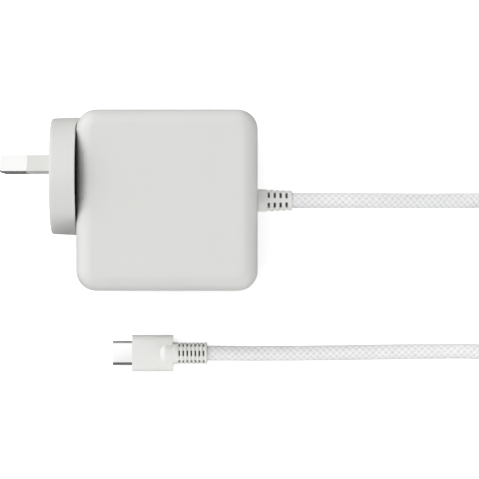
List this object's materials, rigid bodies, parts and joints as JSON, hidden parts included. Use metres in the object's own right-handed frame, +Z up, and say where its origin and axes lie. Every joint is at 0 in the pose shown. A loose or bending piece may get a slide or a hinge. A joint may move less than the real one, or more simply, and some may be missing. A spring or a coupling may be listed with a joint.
{
  "type": "laptop power adapter",
  "caption": "Square wall power adapter with a slide-on round plug head, a fixed braided cord and a USB-C plug.",
  "frame": {"origin": "on the surface that the adapter lies on, under the middle of the box round the case, boot and plug head", "axes": "+Z up, out of the case's front face; +X from the plug head to the cord's boot; +Y towards the side the plug head is offset to"},
  "size_m": [0.2692, 0.103, 0.0398],
  "materials": {
    "case_plastic": "fine matt moulded polycarbonate",
    "head_plastic": "fine matt moulded polycarbonate",
    "sleeve_plastic": "smooth moulded insulation",
    "boot_elastomer": "soft matt elastomer",
    "cord_braid": "braided textile sleeve over a moulded jacket",
    "tie_fabric": "woven hook-and-loop tape",
    "plug_plastic": "satin moulded plastic",
    "plated_steel": "bright nickel plate",
    "pin_brass": "nickel-plated brass",
    "contact_metal": "gold-plated strip",
    "insulator_black": "moulded black plastic",
    "film": "thin insulating film",
    "aluminium": "plain sheet",
    "gap_pad": "soft silicone pad",
    "circuit_board": "glass-fibre board with solder mask",
    "component_body": "moulded component case",
    "component_blue": "dipped coating",
    "component_yellow": "film and tape",
    "ferrite": "sintered ferrite",
    "winding": "enamelled copper wire",
    "can": "drawn can",
    "wire_insulation": "coloured wire insulation"
  },
  "bodies": {
    "adapter": {"front_shell": "case_plastic", "rear_shell": "case_plastic", "front_insulator": "film", "rear_insulator": "film", "heat_spreader": "aluminium", "front_gap_pad": "gap_pad", "rear_gap_pad": "gap_pad", "main_board": "circuit_board", "fuse": "component_body", "inrush_thermistor": "component_body", "surge_varistor": "component_blue", "film_capacitor": "component_yellow", "choke_core": "ferrite", "choke_windings": "winding", "filter_inductor": "ferrite", "bridge_rectifier": "component_body", "bulk_capacitors": "can", "transformer_core": "ferrite", "transformer_bobbin": "component_body", "transformer_winding": "winding", "power_transistor": "component_body", "primary_heatsink": "aluminium", "safety_capacitor": "component_blue", "optocoupler": "component_body", "output_capacitors": "can", "output_inductor": "ferrite", "output_board": "circuit_board", "control_chips": "component_body", "contact_springs": "contact_metal", "input_leads": "wire_insulation", "output_leads": "wire_insulation", "cord_root": "cord_braid", "cord_boot": "boot_elastomer", "cord_run_out": "cord_braid", "cord_coil": "cord_braid", "cord_tie": "tie_fabric", "cord_run_back": "cord_braid", "usb_boot": "boot_elastomer", "usb_cord_end": "cord_braid", "usb_grip": "plug_plastic", "usb_paddle_board": "circuit_board", "usb_shell": "plated_steel", "usb_insert": "insulator_black", "usb_contacts": "contact_metal"},
    "plug_head": {"plug_cover": "head_plastic", "plug_back": "head_plastic", "mains_pins": "pin_brass", "pin_sleeves": "sleeve_plastic", "contact_tabs": "contact_metal"}
  },
  "joints": [
    {"name": "plug_head_slide", "type": "slide", "parent": "adapter", "child": "plug_head", "axis": [0, 0, 1], "range_m": [0, 0.0205]}
  ]
}
